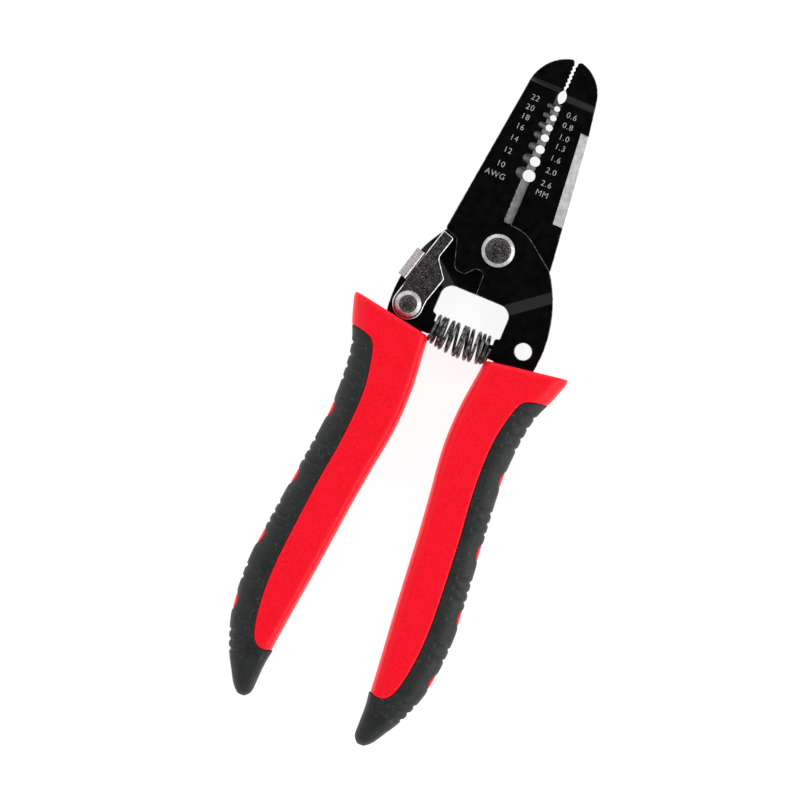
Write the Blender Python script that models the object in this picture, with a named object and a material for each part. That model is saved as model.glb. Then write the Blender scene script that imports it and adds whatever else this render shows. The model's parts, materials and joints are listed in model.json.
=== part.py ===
"""Wire stripper for seven wire sizes: two overlapping steel blades on a rivet, held shut by a
thumb latch and opened by a coil spring, with two-colour moulded handles.

Lengths are in millimetres, measured from the pivot: +X right, +Y towards the jaws, +Z up.
Each object stands at the pivot or at the latch rivet, and its mesh is in metres.
"""

import math

import bmesh
import bpy
import numpy as np

MM = 0.001

# Where the pivot stands: the origin is at the middle of the underside.
HANDLE_HALF = 6.2  # half the thickness of a handle, which lies on the floor
PIVOT = np.array((0.0, 37.85, HANDLE_HALF))
GAP = 0.3  # between moulded or pressed pieces that touch
RUNNING_GAP = 0.15  # round a rivet and under its heads

# Blades
BLADE = 2.0  # sheet thickness
BLADE_GAP = 0.2  # between the two blades where they overlap
MID_SHIFT = (BLADE + BLADE_GAP) / 2  # a bend brings a blade to the common middle plane
EDGE_REACH = 0.65  # how far a cutting edge passes the middle
EDGE_WIDTH = 2.15  # width of the ground bevel behind it
EDGE_LAND = 0.15  # thickness left at the cutting edge
EDGE_LOW, EDGE_TOP = 7.4, 42.0
BEVEL_PAST = 0.4  # how far the wedge that grinds it runs on at each end, as a share of its width
WIRE_SIZES = (0.6, 0.8, 1.0, 1.3, 1.6, 2.0, 2.6)
NOTCH_Y = (38.5, 36.0, 33.35, 30.6, 27.5, 24.2, 20.35)
NOTCH_RELIEF = math.radians(1.1)  # the notches are wider towards the tip, so that the wire runs free
NOTCH_SLANT = math.radians(44)
REST_OPENING = math.radians(0.4)  # the latch holds the jaws this far open
JAW_MIDDLE = -0.12  # where the two jaws meet, left of the pivot
CLOSED_GAP = 0.06  # between the teeth when the jaws are shut
TOOTH_PITCH, TOOTH_DEPTH, TEETH = 1.1, 0.33, 6
TOOTH_TOP = 50.2
BEND_STEPS = ((0, 0), (0.15, 0.07), (0.85, 0.93), (1, 1))  # across a bend, and how far it drops
FRONT_NOSE, REAR_NOSE = (42.4, 1.2), (40.8, 2.0)  # where the bend at the tip starts, and its width
ARM_BEND, ARM_ACROSS, ARM_WIDTH = (12.7, -6.5), (0.62, -0.785), 4.0  # of the bend below the pivot
SCRAPER_DROP = 1.2  # how far the outer ground facet falls
SCRAPER_INNER = ((10.05, 11.5), (7.75, 35.2))  # from its lower end to its upper one
SCRAPER_OUTER = ((12.7, 11.5), (9.82, 35.2))
HANGING_HOLE, HANGING_RADIUS = (15.6, -20.8), 2.15

# Rivets
PIVOT_SHANK, PIVOT_HEAD, PIVOT_FLAT = 2.6, 4.2, 3.25
LATCH_AT = np.array((-15.6, -21.0))
LATCH_SHANK, LATCH_HEAD, LATCH_FLAT = 1.6, 3.35, 2.3
PIVOT_TAIL, LATCH_TAIL = 3.6, 2.4  # the end that is spread over the washer
HEAD_HEIGHT = 0.8
HEAD_CHAMFER = 0.45  # how steep a head's edge is
WASHER = 0.6
SPRING_WASHER, SPRING_DISH = 3.05, 0.3

# Latch
LATCH_SHEET = 1.4
LATCH_BASE = BLADE / 2 + BLADE_GAP
LATCH_EYE = 3.95
TAB_TOP_END, TAB_LOW_END = (-16.5, -7.7), (-18.5, -15.4)  # of its root, on the latch's left edge
TAB_BEND, TAB_ANGLE, TAB_STRAIGHT = 0.7, math.radians(75), 1.6
TAB_ROOT = 1.2  # how far it runs into the latch
TAB_THINNER = 0.02  # keeps its faces off the latch's own
TAB_STEPS = 6

# Return spring
SPRING_Y, SPRING_RADIUS, WIRE = -24.2, 3.7, 0.9
SPRING_HALF = 6.8  # half the length of its middle line
SPRING_TURNS = 10
SPRING_STEPS = 15  # points in a turn

# Handles: rows of inner edge (x, y) and outer edge (x, y), from the flange down to the tip
HANDLE_STATIONS = (
    (7.7, -26.5, 29.3, -22.9),
    (7.3, -30.2, 27.2, -29.4),
    (6.8, -34.5, 25.1, -34.6),
    (6.3, -40.0, 24.0, -40.5),
    (6.2, -48.0, 23.5, -48.5),
    (6.8, -55.0, 23.7, -56.0),
    (7.9, -63.0, 24.5, -64.0),
    (9.0, -72.0, 25.5, -73.0),
    (10.0, -82.0, 26.6, -83.0),
    (10.9, -91.0, 27.5, -91.5),
    (11.9, -100.0, 27.5, -99.5),
    (12.9, -109.0, 26.6, -108.5),
    (13.6, -117.0, 23.8, -117.0),
    (13.8, -122.5, 20.8, -122.5),
    (14.0, -125.6, 18.9, -125.6),
    (15.2, -127.2, 17.2, -127.2),
)
STATION_STEPS = 2  # rings from one row to the next
RING_STEPS = 5  # points on a rounded quarter of a ring
MOST_ROUND = 0.45  # the most of a handle's width that one rounded side takes
FLANGE_STEPS = 20  # finer rows below the first one, for the flange's rounded top
INNER_ROUND, OUTER_ROUND = 2.4, 5.6  # how far the rounded sides reach in
SQUARENESS = 2.6  # exponent of the rounded sides: 2 is an ellipse
TOP_FILLET = 1.0
TIP_STATION = 11.5  # from here on the handle gets thinner
TIP_HALF = 2.6
GRIP_EDGE = (
    (31.0, -29.7),
    (26.7, -30.9),
    (23.0, -31.6),
    (20.3, -32.9),
    (18.9, -36.5),
    (17.6, -43.0),
    (17.3, -50.0),
    (17.9, -60.0),
    (19.1, -70.0),
    (20.1, -81.0),
    (20.9, -92.0),
    (20.9, -100.0),
    (20.1, -107.5),
    (18.6, -112.6),
    (16.3, -114.4),
    (13.3, -114.0),
    (9.0, -112.8),
)
GRIP_STEPS = 3  # points from one of them to the next
PAST_GRIP = ((9.0, -132.0), (36.0, -132.0), (36.0, -28.0))  # closes GRIP_EDGE outside the handle
PAST_HALF = 9.0  # above and below the handle
GRIP_WALL = 2.6  # rubber outside the core's tongue
TONGUE_INSIDE = ((15.5, -118.0), (16.0, -70.0), (15.0, -40.0))
TONGUE_HALF = 3.0
WINDOW_Y = (-52.5, -71.5, -88.5, -106.0)
WINDOW_LENGTH, WINDOW_HALF = 1.9, 3.3
BOSS_ROOT, BOSS_REACH = 1.5, 2.0  # how far a boss runs into the tongue, and past the handle
BOSS_SIDES = 16

ARC_SAG = 0.02  # how far a chord may stand off its arc
PAST_SHEET = 1.0  # how far a cutter runs past the sheet that it cuts


def arc_steps(radius, angle):
    """Chords for an arc, so that none stands off it by more than ARC_SAG."""
    return max(2, math.ceil(abs(angle) / (2 * math.acos(1 - ARC_SAG / radius))))


def arc(centre, radius, start, end):
    """Points along an arc, from one angle to another in radians."""
    angles = np.linspace(start, end, arc_steps(radius, end - start) + 1)
    return [(centre[0] + radius * math.cos(a), centre[1] + radius * math.sin(a)) for a in angles]


def arc_through(first, middle, last):
    """Points along the arc from first to last that passes through middle."""
    a, b, c = (complex(*point) for point in (first, middle, last))
    ratio = (c - a) / (b - a)
    centre = (b - a) * (ratio - abs(ratio) ** 2) / (2j * ratio.imag) + a
    start, end = (math.atan2((p - centre).imag, (p - centre).real) for p in (a, c))
    turn = math.copysign(1, ratio.imag)
    if (end - start) * turn < 0:
        end += turn * math.tau
    return arc((centre.real, centre.imag), abs(a - centre), start, end)


def rounded(corners):
    """An outline from corners (x, y) or (x, y, radius): a radius makes an arc of that corner."""
    outline = []
    for i, corner in enumerate(corners):
        here = np.array(corner[:2], float)
        if len(corner) == 2:
            outline.append(tuple(here))
            continue
        radius = corner[2]
        before = np.array(corners[i - 1][:2]) - here
        after = np.array(corners[(i + 1) % len(corners)][:2]) - here
        before /= np.hypot(*before)
        after /= np.hypot(*after)
        half = math.acos(np.clip(before @ after, -1, 1)) / 2
        middle = before + after
        centre = here + middle / np.hypot(*middle) * radius / math.sin(half)
        start = here + before * radius / math.tan(half) - centre
        turn = math.pi - 2 * half
        if before[0] * after[1] - before[1] * after[0] > 0:
            turn = -turn
        angle = math.atan2(start[1], start[0])
        outline += arc(centre, radius, angle, angle + turn)
    return outline


def smooth_rows(rows, steps):
    """Rows of numbers on a smooth curve through the given rows, steps from one to the next."""
    rows = np.array(rows, float)
    padded = np.vstack((2 * rows[0] - rows[1], rows, 2 * rows[-1] - rows[-2]))
    found = []
    for i in range(len(rows) - 1):
        p, q, r, s = padded[i : i + 4]
        for t in np.arange(steps) / steps:
            bend = (2 * p - 5 * q + 4 * r - s) * t**2 + (3 * q - p - 3 * r + s) * t**3
            found.append(q + ((r - p) * t + bend) / 2)
    found.append(rows[-1])
    return np.array(found)


def grown(outline, distance):
    """A closed outline with every side moved out by distance, or in when it is negative."""
    points = np.array(outline, float)
    along = np.roll(points, -1, axis=0) - points
    area = np.sum(points[:, 0] * np.roll(points[:, 1], -1) - points[:, 1] * np.roll(points[:, 0], -1))
    along *= math.copysign(1, area) / np.hypot(*along.T)[:, None]
    after = np.column_stack((along[:, 1], -along[:, 0]))
    before = np.roll(after, 1, axis=0)
    spread = 1 + np.sum(before * after, axis=1)
    return [tuple(point) for point in points + distance * (before + after) / spread[:, None]]


def place(name, bm, at=(0.0, 0.0), turn=1, side=1):
    """An object from a mesh in pivot millimetres. It stands at a point of the pivot's plane.

    turn -1 turns the mesh half round about Y, and side -1 mirrors it left to right.
    """
    for vert in bm.verts:
        x, y, z = vert.co
        vert.co = ((x * turn * side - at[0]) * MM, (y - at[1]) * MM, z * turn * MM)
    bmesh.ops.recalc_face_normals(bm, faces=bm.faces)
    if bm.calc_volume(signed=True) < 0:
        bmesh.ops.reverse_faces(bm, faces=bm.faces)
    mesh = bpy.data.meshes.new(name)
    bm.to_mesh(mesh)
    bm.free()
    obj = bpy.data.objects.new(name, mesh)
    bpy.context.scene.collection.objects.link(obj)
    obj.location = (PIVOT + (*at, 0.0)) * MM
    return obj


def prism(outline, low, high):
    """A mesh of an outline in the XY plane, drawn up from low to high."""
    bm = bmesh.new()
    face = bm.faces.new([bm.verts.new((x, y, low)) for x, y in outline])
    drawn = bmesh.ops.extrude_face_region(bm, geom=[face])["geom"]
    top = [item for item in drawn if isinstance(item, bmesh.types.BMVert)]
    bmesh.ops.translate(bm, verts=top, vec=(0, 0, high - low))
    return bm


def hull(points):
    """A mesh of the convex solid round some points."""
    bm = bmesh.new()
    verts = [bm.verts.new(point) for point in points]
    made = bmesh.ops.convex_hull(bm, input=verts)
    bmesh.ops.delete(bm, geom=list(set(made["geom_interior"])), context="VERTS")
    return bm


def turned(profile, centre=(0.0, 0.0), steps=40):
    """A mesh of a closed profile of (radius, z) points, spun about a vertical axis."""
    bm = bmesh.new()
    verts = [bm.verts.new((radius, 0, z)) for radius, z in profile]
    sides = [(verts[i - 1], verts[i]) for i in range(len(verts))]
    edges = [bm.edges.new(side) for side in sides if side[0].co.x + side[1].co.x > 0]
    bmesh.ops.spin(
        bm, geom=verts + edges, cent=(0, 0, 0), axis=(0, 0, 1), angle=math.tau, steps=steps
    )
    bmesh.ops.remove_doubles(bm, verts=bm.verts, dist=0.0001)
    bmesh.ops.translate(bm, verts=bm.verts, vec=(*centre, 0))
    return bm


def rings_mesh(rings):
    """A mesh through closed rings of points, with a face over each end."""
    bm = bmesh.new()
    rows = [[bm.verts.new(point) for point in ring] for ring in rings]
    for upper, lower in zip(rows, rows[1:]):
        for i in range(len(upper)):
            bm.faces.new((upper[i - 1], upper[i], lower[i], lower[i - 1]))
    bm.faces.new(rows[0][::-1])
    bm.faces.new(rows[-1])
    return bm


def added(bm, other):
    """The first mesh with the second one's shapes beside its own."""
    mesh = bpy.data.meshes.new("shape")
    other.to_mesh(mesh)
    other.free()
    bm.from_mesh(mesh)
    bpy.data.meshes.remove(mesh)
    return bm


def boolean(obj, tool, operation="DIFFERENCE"):
    modifier = obj.modifiers.new(operation.lower(), "BOOLEAN")
    modifier.operation = operation
    modifier.solver = "EXACT"
    modifier.object = tool
    tool.hide_render = True
    tool.display_type = "WIRE"


def finish(obj, look, smooth=False):
    obj.data.materials.append(look)
    if smooth:
        obj.data.shade_smooth()
        obj.data.set_sharp_from_angle(angle=math.radians(35))


def material(name, colour, roughness, metallic=0.0):
    made = bpy.data.materials.new(name)
    made.use_nodes = True
    shader = made.node_tree.nodes["Principled BSDF"]
    shader.inputs["Base Color"].default_value = (*colour, 1)
    shader.inputs["Roughness"].default_value = roughness
    shader.inputs["Metallic"].default_value = metallic
    return made


# Blades ---------------------------------------------------------------------------------------


def jaw_edge(middle, y):
    """The inner edge of the left jaw: it points at the pivot, so that the jaws shut evenly."""
    return middle - (y * math.tan(REST_OPENING) + CLOSED_GAP) / 2


def serrated_edge(middle, phase):
    """The gripping teeth at the tip, from the top down. phase is 0 or 1, so the jaws mesh."""
    teeth = []
    for i in range(2 * TEETH):
        y = TOOTH_TOP - i * TOOTH_PITCH / 2
        teeth.append((jaw_edge(middle, y) - TOOTH_DEPTH * ((i + phase) % 2), y))
    return teeth


# The end of a blade that the handle holds, down its outer side and up its inner side.
TANG = (
    (19.3, -28.5, 3.0),
    (14.2, -40.0, 9.0),
    (19.2, -104.0, 1.5),
    (14.6, -104.0, 1.5),
    (9.6, -44.0, 25.0),
)


def blade_outline(jaw_side, middle, phase):
    """The left jaw's blade, clockwise from the tip: jaw_side is its outer edge, going up."""
    arm = arc_through((13.9, 0.2), (18.95, -10.0), (20.1, -23.0))
    eye_top = (jaw_edge(middle, 43.4), 43.4)
    eye = arc_through(eye_top, (middle - 1.1, 41.6), (middle, 39.8))
    corners = [(jaw_edge(middle, TOOTH_TOP) - 0.3, 51.1)]
    corners += serrated_edge(middle, phase)
    corners += eye
    corners += [
        (EDGE_REACH, 39.7),
        (EDGE_REACH, 7.15),
        (4.6, 7.15, 10.0),
    ]
    corners += arm
    corners += TANG
    corners += [
        (9.7, -25.9),
        (7.9, -25.9, 0.3),
        (7.9, -25.6),
        (5.4, -25.6, 0.6),
        (5.4, -22.3, 0.6),
        (7.9, -22.3),
        (7.9, -20.4, 0.5),
        (9.0, -20.4, 0.5),
        (9.0, -12.3, 2.9),
        (-0.85, -12.3, 0.5),
        (-1.1, -6.3, 1.1),
        (-3.4, -6.35, 1.5),
        (-5.5, -8.8, 1.6),
        (-8.4, -8.5, 1.9),
        (-10.75, -1.1, 0.5),
        (-13.9, -0.05, 0.5),
    ]
    return rounded(corners + jaw_side)


def bend(bm, start, direction, width, drop):
    """Offset everything past a straight band by drop. direction points across the band."""
    across = np.array(direction) / np.hypot(*direction)
    for way, _ in BEND_STEPS:
        line = np.array(start) + across * width * way
        bmesh.ops.bisect_plane(
            bm,
            geom=bm.verts[:] + bm.edges[:] + bm.faces[:],
            plane_co=(*line, 0),
            plane_no=(*across, 0),
            dist=1e-5,
        )
    for vert in bm.verts:
        way = (np.array(vert.co[:2]) - start) @ across / width
        vert.co.z += drop * np.interp(way, *zip(*BEND_STEPS))


def notch_cutters(middle):
    """Slanted half-round slots in the left jaw's cutting edge, one for each wire."""
    low, high = -PAST_SHEET, BLADE + PAST_SHEET
    bm = bmesh.new()
    for wire, y in zip(WIRE_SIZES, NOTCH_Y):
        radius = (wire + y * math.tan(NOTCH_RELIEF)) / 2
        half_round = arc((middle, y), radius, math.pi / 2, math.pi * 1.5)
        rings = []
        for z in (low, high):
            lean = -z * math.tan(NOTCH_SLANT)
            ring = [(x + lean, y, z) for x, y in half_round]
            ring += [(EDGE_REACH + PAST_SHEET, y + up, z) for up in (-radius, radius)]
            rings.append(ring)
        bm = added(bm, rings_mesh(rings))
    return bm


def edge_bevel():
    """The wedge ground off behind the left jaw's cutting edge."""
    top = np.array((EDGE_REACH - EDGE_WIDTH, BLADE + BLADE_GAP / 2))
    foot = np.array((EDGE_REACH, BLADE_GAP / 2 + EDGE_LAND))
    beyond = (top - foot) * BEVEL_PAST
    a = top + beyond
    b = foot - beyond
    corners = (a, b, (b[0], a[1]))
    return hull([(x, y, z) for x, z in corners for y in (EDGE_LOW, EDGE_TOP)])


def blade(name, jaw_side, phase, nose_bend, turn):
    """nose_bend is where the bend at the tip starts, and its width."""
    low = BLADE_GAP / 2
    middle = JAW_MIDDLE * turn
    bm = prism(blade_outline(jaw_side, middle, phase), low, low + BLADE)
    bend(bm, (0, nose_bend[0]), (0, 1), nose_bend[1], -MID_SHIFT)
    bend(bm, ARM_BEND, ARM_ACROSS, ARM_WIDTH, -MID_SHIFT)
    obj = place(name, bm, turn=turn)
    boolean(obj, place(f"{name}_notches", notch_cutters(middle), turn=turn))
    boolean(obj, place(f"{name}_bevel", edge_bevel(), turn=turn))
    hole = arc((0, 0), PIVOT_SHANK + RUNNING_GAP, 0, math.tau)[:-1]
    boolean(obj, place(f"{name}_pivot_hole", prism(hole, -PAST_SHEET, BLADE + PAST_SHEET), turn=turn))
    return obj


def front_blade():
    """Left jaw, right arm. It lies on the rear blade."""
    side = [(-14.2, 0.8)] + arc_through((-9.2, 43.0), (-6.15, 48.75), (-1.2, 51.5))
    obj = blade("front_blade", side, 0, FRONT_NOSE, 1)
    hole = arc(HANGING_HOLE, HANGING_RADIUS, 0, math.tau)[:-1]
    boolean(obj, place("hanging_hole", prism(hole, -BLADE, BLADE)))
    return obj


def scraper_facet():
    """The wedge ground off the outer edge of the right jaw."""
    top = -BLADE_GAP / 2
    low = top - SCRAPER_DROP
    above = top + PAST_SHEET
    points = [(x, y, top) for x, y in SCRAPER_INNER]
    points += [(x, y, above) for x, y in SCRAPER_INNER]
    for (outer, y), (inner, _) in zip(SCRAPER_OUTER, SCRAPER_INNER):
        beyond = 2 * outer - inner
        points += [(beyond, y, 2 * low - top), (beyond, y, above)]
    return hull(points)


def rear_blade():
    """Right jaw, left arm. It is drawn as a left jaw and turned half round about Y."""
    side = [(-14.1, 0.8), (-12.75, 11.5), (-9.85, 35.3), (-8.9, 41.0)]
    side += arc_through((-8.25, 44.4), (-6.0, 48.7), (-1.2, 51.5))
    obj = blade("rear_blade", side, 1, REAR_NOSE, -1)
    boolean(obj, place("scraper_facet", scraper_facet()))
    hole = arc(LATCH_AT, LATCH_SHANK + RUNNING_GAP, 0, math.tau)[:-1]
    boolean(obj, place("latch_rivet_hole", prism(hole, -BLADE, BLADE)))
    return obj


# Rivets ---------------------------------------------------------------------------------------


def rivet(shank, head, flat, high, low, tail):
    """A profile with a chamfered head above high and a spread tail below low."""
    chamfer = (head - flat) * HEAD_CHAMFER
    return [
        (0, high + HEAD_HEIGHT),
        (flat, high + HEAD_HEIGHT),
        (head, high + HEAD_HEIGHT - chamfer),
        (head, high),
        (shank, high),
        (shank, low),
        (tail, low),
        (tail, low - HEAD_HEIGHT * 0.5),
        (tail * 0.75, low - HEAD_HEIGHT * 0.9),
        (0, low - HEAD_HEIGHT * 0.9),
    ]


def washer(hole, rim, high, dish):
    """A profile whose outer edge is dish lower than its hole."""
    return [
        (hole, high),
        (rim, high - dish),
        (rim, high - dish - WASHER),
        (hole, high - WASHER),
    ]


def pivot_rivet():
    high = BLADE + BLADE_GAP / 2 + RUNNING_GAP
    low = -high - WASHER - RUNNING_GAP
    profile = rivet(PIVOT_SHANK, PIVOT_HEAD, PIVOT_FLAT, high, low, PIVOT_TAIL)
    return place("pivot_rivet", turned(profile))


def pivot_washer():
    high = -(BLADE + BLADE_GAP / 2 + RUNNING_GAP)
    profile = washer(PIVOT_SHANK + RUNNING_GAP, PIVOT_HEAD, high, 0)
    return place("pivot_washer", turned(profile))


def latch_rivet():
    high = LATCH_BASE + LATCH_SHEET + RUNNING_GAP
    low = -(BLADE / 2 + SPRING_DISH + WASHER + 2 * RUNNING_GAP)
    profile = rivet(LATCH_SHANK, LATCH_HEAD, LATCH_FLAT, high, low, LATCH_TAIL)
    return place("latch_rivet", turned(profile, LATCH_AT), LATCH_AT)


def latch_spring_washer():
    """A dished washer under the arm, which makes the latch stay where the thumb leaves it."""
    high = -(BLADE / 2 + RUNNING_GAP)
    profile = washer(LATCH_SHANK + RUNNING_GAP, SPRING_WASHER, high, SPRING_DISH)
    return place("latch_spring_washer", turned(profile, LATCH_AT), LATCH_AT)


# Latch ----------------------------------------------------------------------------------------


def thumb_tab():
    """A strip that leaves the latch's left edge and curls up."""
    top_end = np.array(TAB_TOP_END)
    low_end = np.array(TAB_LOW_END)
    along = (low_end - top_end) / np.hypot(*(low_end - top_end))
    out = np.array((along[1], -along[0]))
    middle = TAB_BEND + LATCH_SHEET / 2
    path = [(-TAB_ROOT, 0.0, 0.0)]
    for angle in np.linspace(0, TAB_ANGLE, TAB_STEPS):
        path.append((middle * math.sin(angle), middle * (1 - math.cos(angle)), angle))
    reach, rise, angle = path[-1]
    path.append(
        (
            reach + TAB_STRAIGHT * math.cos(angle),
            rise + TAB_STRAIGHT * math.sin(angle),
            angle,
        )
    )
    rings = []
    for reach, rise, angle in path:
        lift = LATCH_BASE + LATCH_SHEET / 2 + rise
        ring = []
        for corner, half in ((top_end, 1), (low_end, 1), (low_end, -1), (top_end, -1)):
            thick = half * (LATCH_SHEET / 2 - TAB_THINNER)
            x, y = corner + out * (reach - thick * math.sin(angle))
            ring.append((x, y, lift + thick * math.cos(angle)))
        rings.append(ring)
    return rings_mesh(rings)


def latch_lever():
    eye = arc(LATCH_AT, LATCH_EYE, math.radians(8), math.radians(-195))
    corners = [
        (-14.4, -0.45, 0.5),
        (-11.3, -1.45, 0.6),
        (-12.95, -7.4, 1.8),
        (-9.6, -11.8, 0.9),
        (-11.55, -18.5, 2.0),
    ]
    corners += eye
    corners += [(-18.7, -17.2, 2.0), (-16.1, -6.5, 3.0)]
    low = LATCH_BASE
    obj = place("latch_lever", prism(rounded(corners), low, low + LATCH_SHEET), LATCH_AT)
    boolean(obj, place("thumb_tab", thumb_tab(), LATCH_AT), "UNION")
    hole = arc(LATCH_AT, LATCH_SHANK + RUNNING_GAP, 0, math.tau)[:-1]
    boolean(obj, place("latch_hole", prism(hole, 0, low + LATCH_SHEET + PAST_SHEET), LATCH_AT))
    return obj


# Return spring --------------------------------------------------------------------------------


def return_spring():
    """An open coil between the two arms, round the peg of each."""
    curve = bpy.data.curves.new("return_spring", "CURVE")
    curve.dimensions = "3D"
    curve.bevel_depth = WIRE / 2 * MM
    curve.bevel_resolution = 1
    curve.use_fill_caps = True
    count = round(SPRING_TURNS * SPRING_STEPS)
    spline = curve.splines.new("POLY")
    spline.points.add(count)
    for i, point in enumerate(spline.points):
        angle = math.tau * i / SPRING_STEPS - math.pi / 2
        x = SPRING_HALF * (2 * i / count - 1)
        y = SPRING_Y + SPRING_RADIUS * math.cos(angle)
        z = SPRING_RADIUS * math.sin(angle)
        point.co = (x * MM, y * MM, z * MM, 1)
    obj = bpy.data.objects.new("return_spring", curve)
    bpy.context.scene.collection.objects.link(obj)
    obj.location = PIVOT * MM
    return obj


# Handles --------------------------------------------------------------------------------------


def handle_ring(row, half, inset):
    """One ring of a handle, from its inner edge over the top to its outer edge and back."""
    inner, outer = np.array(row[:2]), np.array(row[2:])
    width = np.hypot(*(outer - inner))
    across = (outer - inner) / width
    left, right, half = inset, width - inset, half - inset
    quarter = np.linspace(0, math.pi / 2, RING_STEPS)
    power = 2 / SQUARENESS
    reach = [min(side, (right - left) * MOST_ROUND) for side in (INNER_ROUND, OUTER_ROUND)]
    top = []
    for angle in quarter:
        across_mm = left + reach[0] * (1 - math.cos(angle) ** power)
        top.append((across_mm, half * math.sin(angle) ** power))
    for angle in quarter[::-1]:
        across_mm = right - reach[1] * (1 - math.cos(angle) ** power)
        top.append((across_mm, half * math.sin(angle) ** power))
    bottom = [(across_mm, -z) for across_mm, z in top[-2:0:-1]]
    return [(*(inner + across * across_mm), z) for across_mm, z in top + bottom]


def handle_form(name, side):
    """The whole outside of a handle, as one solid."""
    rows = smooth_rows(HANDLE_STATIONS, STATION_STEPS)
    flange_rows = smooth_rows(HANDLE_STATIONS[:3], FLANGE_STEPS)
    flange_height = HANDLE_STATIONS[0][1] - HANDLE_STATIONS[1][1]
    rings = []
    for angle in np.radians((90, 50, 20)):
        down = TOP_FILLET * (1 - math.sin(angle))
        row = flange_rows[round(down / flange_height * FLANGE_STEPS)]
        rings.append(handle_ring(row, HANDLE_HALF, TOP_FILLET * (1 - math.cos(angle))))
    for i, row in enumerate(rows[1:], 1):
        way = max(0, i / STATION_STEPS - TIP_STATION)
        way /= len(HANDLE_STATIONS) - 1 - TIP_STATION
        thinner = (1 - (TIP_HALF / HANDLE_HALF) ** 2) * way**2
        rings.append(handle_ring(row, HANDLE_HALF * math.sqrt(1 - thinner), 0))
    return place(name, rings_mesh(rings), side=side)


def handle_edge(inset):
    """The outer edge of a handle moved in by inset, without the flange."""
    rows = smooth_rows(HANDLE_STATIONS, STATION_STEPS)
    rows = rows[3 * STATION_STEPS : -2 * STATION_STEPS]
    inner, outer = rows[:, :2], rows[:, 2:]
    across = (outer - inner) / np.hypot(*(outer - inner).T)[:, None]
    return outer - across * inset


def grip_space(name, side, gap):
    """The space of the rubber grip: outside its edge, and round the core's tongue."""
    outline = [*smooth_rows(GRIP_EDGE, GRIP_STEPS), *PAST_GRIP]
    space = place(name, prism(grown(outline, -gap), -PAST_HALF, PAST_HALF), side=side)
    tongue = [*handle_edge(GRIP_WALL), *TONGUE_INSIDE]
    tongue = prism(grown(tongue, gap), -TONGUE_HALF - gap, TONGUE_HALF + gap)
    boolean(space, place(f"{name}_tongue", tongue, side=side))
    bosses = bmesh.new()
    for y in WINDOW_Y:
        bosses = added(bosses, window_boss(y, gap))
    boolean(space, place(f"{name}_bosses", bosses, side=side))
    return space


def window_boss(y, gap):
    """An oval block that leaves the tongue and fills a window of the grip."""
    edge = handle_edge(0)
    x = edge[np.argmin(abs(edge[:, 1] - y))][0]
    rings = []
    for reach in (-GRIP_WALL - BOSS_ROOT, BOSS_REACH):
        ring = []
        for angle in np.arange(BOSS_SIDES) / BOSS_SIDES * math.tau:
            along = y + (WINDOW_LENGTH + gap) * math.cos(angle)
            ring.append((x + reach, along, (WINDOW_HALF + gap) * math.sin(angle)))
        rings.append(ring)
    return rings_mesh(rings)


def handle(name, side, red, black):
    """A moulded core with a slot for the tang, and the rubber grip round its outer side."""
    core = handle_form(f"{name}_handle_core", side)
    boolean(core, grip_space(f"{name}_core_cut", side, 0))
    slot = grown(rounded([(21.5, -20.0), *TANG, (9.7, -20.0)]), GAP)
    slot = prism(slot, -BLADE / 2 - GAP, BLADE / 2 + GAP)
    boolean(core, place(f"{name}_tang_slot", slot, side=side))
    finish(core, red, smooth=True)
    grip = handle_form(f"{name}_handle_grip", side)
    boolean(grip, grip_space(f"{name}_grip_space", side, GAP), "INTERSECT")
    finish(grip, black, smooth=True)


def main():
    for obj in list(bpy.data.objects):
        bpy.data.objects.remove(obj)
    black_steel = material("black_steel", (0.012, 0.012, 0.013), 0.35, 0.6)
    nickel = material("nickel", (0.42, 0.39, 0.40), 0.3, 1.0)
    spring_steel = material("spring_steel", (0.03, 0.03, 0.03), 0.3, 0.8)
    red = material("red_plastic", (0.9, 0.006, 0.02), 0.45)
    black = material("black_rubber", (0.02, 0.023, 0.023), 0.75)
    finish(front_blade(), black_steel)
    finish(rear_blade(), black_steel)
    for part in (pivot_rivet, pivot_washer, latch_rivet, latch_spring_washer):
        finish(part(), nickel, smooth=True)
    finish(latch_lever(), nickel)
    return_spring().data.materials.append(spring_steel)
    handle("right", 1, red, black)
    handle("left", -1, red, black)


main()
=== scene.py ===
"""The looks of the wire stripper: blackened blades with ground edges, plated latch and rivets,
a sprung coil, and red handles with black rubber grips.

Shapes are in millimetres from the pivot: +X right, +Y towards the jaws, +Z up. settle() takes
them to the row frame, in metres.
"""

import json
import math

import bmesh
import bpy
import numpy as np
from mathutils import Matrix, Vector


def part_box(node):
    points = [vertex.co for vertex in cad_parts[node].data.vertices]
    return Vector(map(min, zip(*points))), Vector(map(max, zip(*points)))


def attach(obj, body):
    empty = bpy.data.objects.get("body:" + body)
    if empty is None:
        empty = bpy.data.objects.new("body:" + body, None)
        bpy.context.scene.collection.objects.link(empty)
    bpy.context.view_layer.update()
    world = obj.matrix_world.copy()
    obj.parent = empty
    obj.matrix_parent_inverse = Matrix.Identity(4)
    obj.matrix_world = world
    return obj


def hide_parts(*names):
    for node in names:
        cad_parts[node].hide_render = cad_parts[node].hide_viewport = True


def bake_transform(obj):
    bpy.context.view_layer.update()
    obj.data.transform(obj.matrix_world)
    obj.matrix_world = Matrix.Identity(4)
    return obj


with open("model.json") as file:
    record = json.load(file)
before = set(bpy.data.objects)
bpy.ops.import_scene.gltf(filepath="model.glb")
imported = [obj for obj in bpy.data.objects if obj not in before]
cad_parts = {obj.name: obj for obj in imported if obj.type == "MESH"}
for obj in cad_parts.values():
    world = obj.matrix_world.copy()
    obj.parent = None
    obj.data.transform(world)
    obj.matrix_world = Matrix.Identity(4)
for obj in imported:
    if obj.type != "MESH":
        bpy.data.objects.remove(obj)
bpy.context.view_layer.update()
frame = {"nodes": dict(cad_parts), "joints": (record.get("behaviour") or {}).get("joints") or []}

MM = 0.001
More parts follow.
